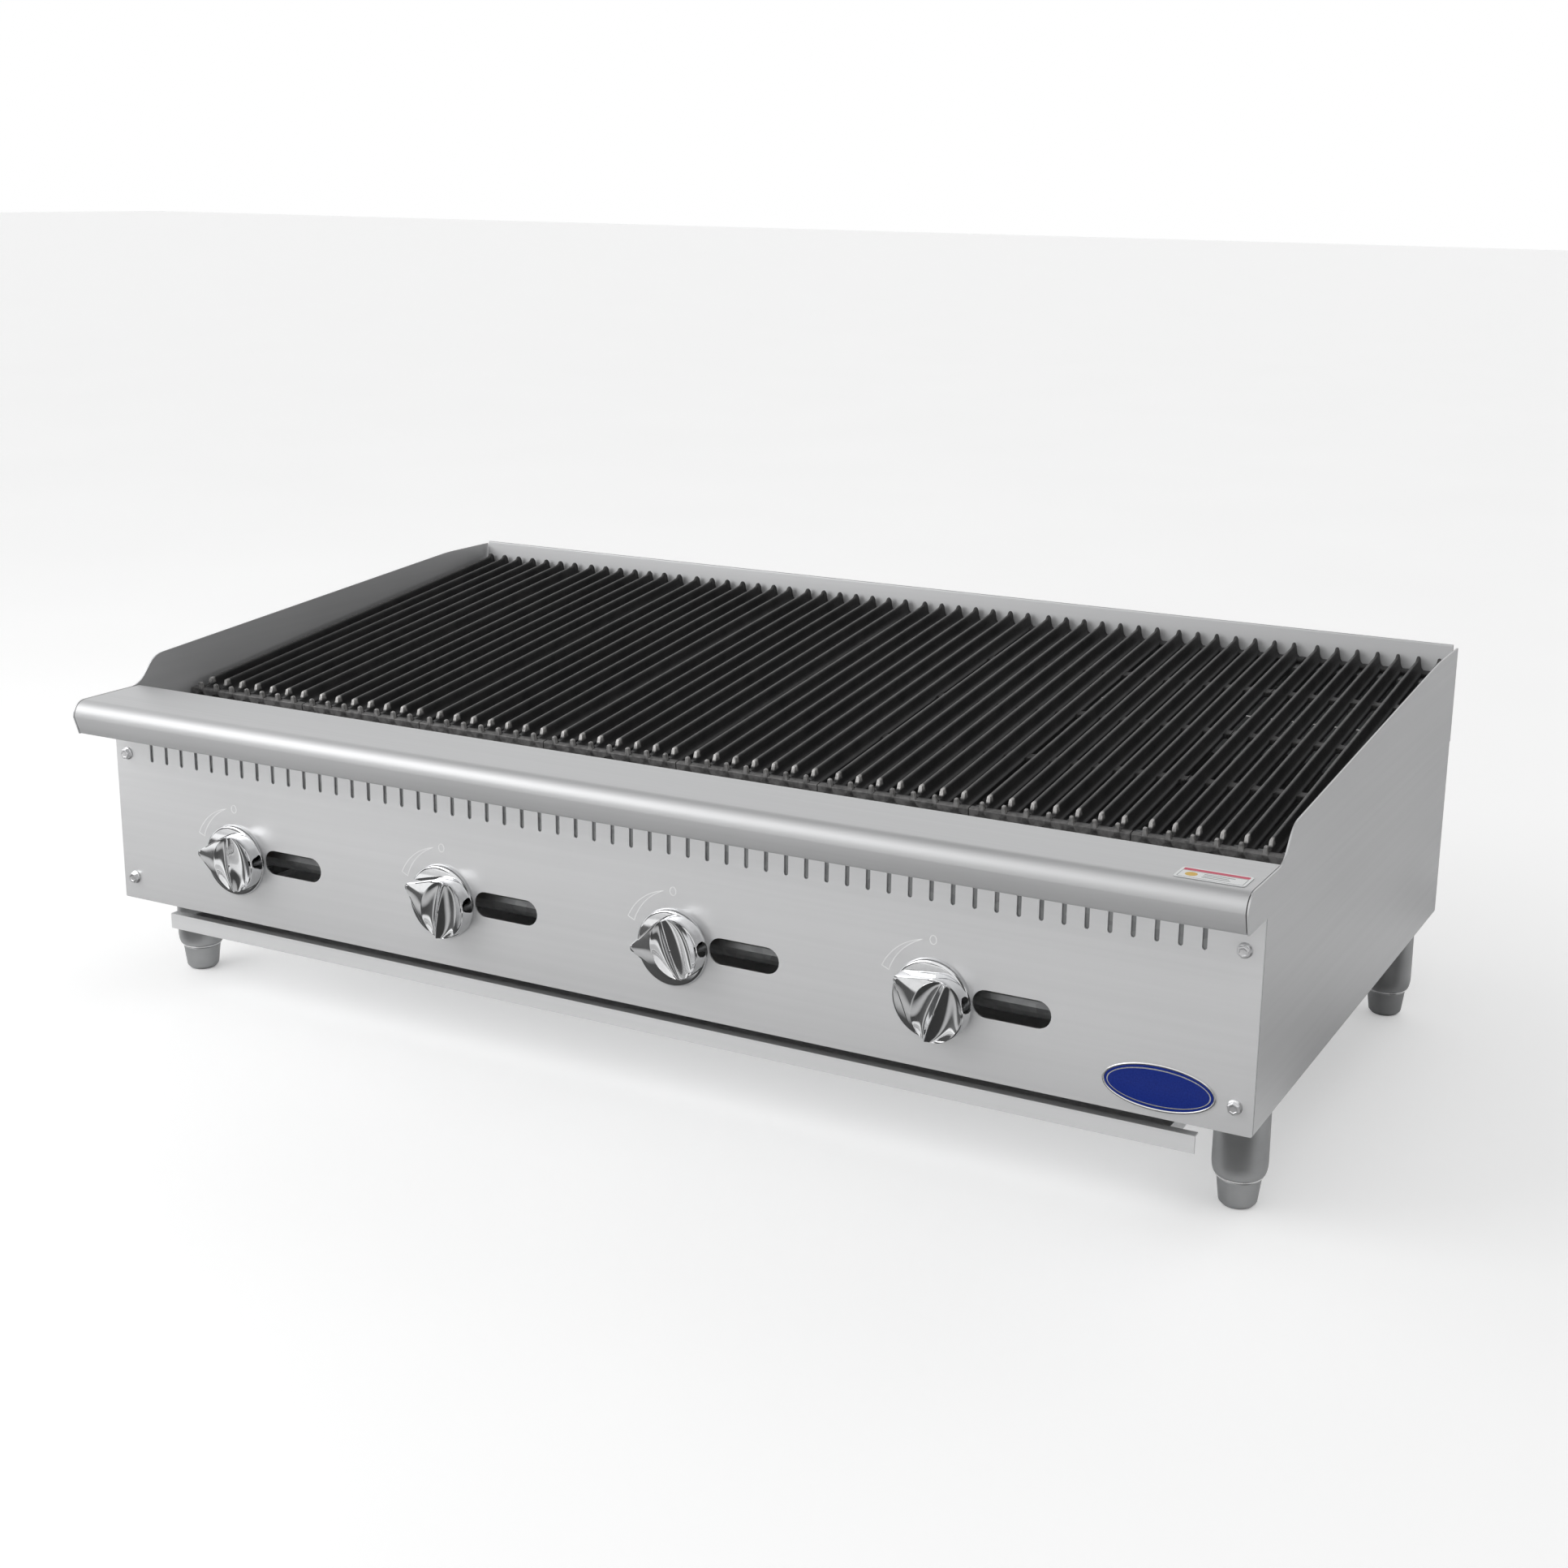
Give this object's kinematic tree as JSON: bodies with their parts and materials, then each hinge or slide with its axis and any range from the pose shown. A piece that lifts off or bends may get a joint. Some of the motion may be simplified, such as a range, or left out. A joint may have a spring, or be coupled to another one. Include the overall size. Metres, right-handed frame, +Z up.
{
  "type": "countertop charbroiler grill",
  "caption": "Stainless countertop gas charbroiler with cast-iron grate sections, chrome knobs, a drip tray and adjustable legs.",
  "frame": {"origin": "on the floor under the centre of the cabinet, level with the undersides of the feet", "axes": "+Z up, -Y to the front where the knobs are, +X to the cook's right"},
  "size_m": [1.219, 0.7, 0.384],
  "materials": {
    "stainless_sheet": "fine brushed stainless sheet",
    "bolt_steel": "bright zinc-plated steel",
    "knob_chrome": "polished chrome on a die casting",
    "cast_iron_grate": "seasoned cast iron, satin black, worn bright at the rib ends",
    "cast_iron_burner": "bare cast iron",
    "aluminised_steel": "aluminised steel",
    "valve_brass": "machined brass",
    "badge_enamel": "blue enamel with a silver rim",
    "label_vinyl": "white vinyl with a red band",
    "leg_steel": "plated steel, satin grey"
  },
  "bodies": {
    "cabinet": {"side_panel_left": "stainless_sheet", "side_panel_right": "stainless_sheet", "splash_guard_left": "stainless_sheet", "splash_guard_right": "stainless_sheet", "front_ledge": "stainless_sheet", "back_splash": "stainless_sheet", "back_panel": "stainless_sheet", "control_panel": "stainless_sheet", "panel_bolt_upper_left": "bolt_steel", "panel_bolt_upper_right": "bolt_steel", "panel_bolt_lower_left": "bolt_steel", "panel_bolt_lower_right": "bolt_steel", "badge": "badge_enamel", "ledge_label": "label_vinyl", "grate_rail_front": "aluminised_steel", "grate_rail_rear": "aluminised_steel", "heat_baffle": "aluminised_steel", "burner_1": "cast_iron_burner", "radiant_1": "cast_iron_burner", "burner_2": "cast_iron_burner", "radiant_2": "cast_iron_burner", "burner_3": "cast_iron_burner", "radiant_3": "cast_iron_burner", "burner_4": "cast_iron_burner", "radiant_4": "cast_iron_burner", "burner_support_front": "aluminised_steel", "burner_support_rear": "aluminised_steel", "gas_manifold": "aluminised_steel", "gas_inlet_pipe": "aluminised_steel", "valve_1": "valve_brass", "knob_bezel_1": "knob_chrome", "valve_2": "valve_brass", "knob_bezel_2": "knob_chrome", "valve_3": "valve_brass", "knob_bezel_3": "knob_chrome", "valve_4": "valve_brass", "knob_bezel_4": "knob_chrome", "tray_rail_left": "aluminised_steel", "tray_rail_right": "aluminised_steel", "leg_front_left": "leg_steel", "leg_front_right": "leg_steel", "leg_rear_left": "leg_steel", "leg_rear_right": "leg_steel"},
    "knob_body_1": {"knob_1": "knob_chrome"},
    "knob_body_2": {"knob_2": "knob_chrome"},
    "knob_body_3": {"knob_3": "knob_chrome"},
    "knob_body_4": {"knob_4": "knob_chrome"},
    "grate_body_1": {"grate_1": "cast_iron_grate"},
    "grate_body_2": {"grate_2": "cast_iron_grate"},
    "grate_body_3": {"grate_3": "cast_iron_grate"},
    "grate_body_4": {"grate_4": "cast_iron_grate"},
    "grate_body_5": {"grate_5": "cast_iron_grate"},
    "grate_body_6": {"grate_6": "cast_iron_grate"},
    "grate_body_7": {"grate_7": "cast_iron_grate"},
    "grate_body_8": {"grate_8": "cast_iron_grate"},
    "tray_body": {"drip_tray": "stainless_sheet"},
    "foot_body_front_left": {"foot_front_left": "leg_steel"},
    "foot_body_front_right": {"foot_front_right": "leg_steel"},
    "foot_body_rear_left": {"foot_rear_left": "leg_steel"},
    "foot_body_rear_right": {"foot_rear_right": "leg_steel"}
  },
  "joints": [
    {"name": "knob_1_turn", "type": "hinge", "parent": "cabinet", "child": "knob_body_1", "pos_m": [-0.45305, -0.31, 0.1605], "axis": [0, -1, 0], "range_deg": [-12, 78]},
    {"name": "knob_2_turn", "type": "hinge", "parent": "cabinet", "child": "knob_body_2", "pos_m": [-0.19435, -0.31, 0.1605], "axis": [0, -1, 0], "range_deg": [0, 94]},
    {"name": "knob_3_turn", "type": "hinge", "parent": "cabinet", "child": "knob_body_3", "pos_m": [0.06435, -0.31, 0.1605], "axis": [0, -1, 0], "range_deg": [-27, 63]},
    {"name": "knob_4_turn", "type": "hinge", "parent": "cabinet", "child": "knob_body_4", "pos_m": [0.32305, -0.31, 0.1605], "axis": [0, -1, 0], "range_deg": [0, 102]},
    {"name": "grate_1_lift", "type": "slide", "parent": "cabinet", "child": "grate_body_1", "axis": [0, 0, 1], "range_m": [0, 0.12]},
    {"name": "grate_2_lift", "type": "slide", "parent": "cabinet", "child": "grate_body_2", "axis": [0, 0, 1], "range_m": [0, 0.12]},
    {"name": "grate_3_lift", "type": "slide", "parent": "cabinet", "child": "grate_body_3", "axis": [0, 0, 1], "range_m": [0, 0.12]},
    {"name": "grate_4_lift", "type": "slide", "parent": "cabinet", "child": "grate_body_4", "axis": [0, 0, 1], "range_m": [0, 0.12]},
    {"name": "grate_5_lift", "type": "slide", "parent": "cabinet", "child": "grate_body_5", "axis": [0, 0, 1], "range_m": [0, 0.12]},
    {"name": "grate_6_lift", "type": "slide", "parent": "cabinet", "child": "grate_body_6", "axis": [0, 0, 1], "range_m": [0, 0.12]},
    {"name": "grate_7_lift", "type": "slide", "parent": "cabinet", "child": "grate_body_7", "axis": [0, 0, 1], "range_m": [0, 0.12]},
    {"name": "grate_8_lift", "type": "slide", "parent": "cabinet", "child": "grate_body_8", "axis": [0, 0, 1], "range_m": [0, 0.12]},
    {"name": "drip_tray_slide", "type": "slide", "parent": "cabinet", "child": "tray_body", "axis": [0, -1, 0], "range_m": [0, 0.45]},
    {"name": "foot_front_left_adjust", "type": "slide", "parent": "cabinet", "child": "foot_body_front_left", "axis": [0, 0, -1], "range_m": [0, 0.025]},
    {"name": "foot_front_right_adjust", "type": "slide", "parent": "cabinet", "child": "foot_body_front_right", "axis": [0, 0, -1], "range_m": [0, 0.025]},
    {"name": "foot_rear_left_adjust", "type": "slide", "parent": "cabinet", "child": "foot_body_rear_left", "axis": [0, 0, -1], "range_m": [0, 0.025]},
    {"name": "foot_rear_right_adjust", "type": "slide", "parent": "cabinet", "child": "foot_body_rear_right", "axis": [0, 0, -1], "range_m": [0, 0.025]}
  ]
}
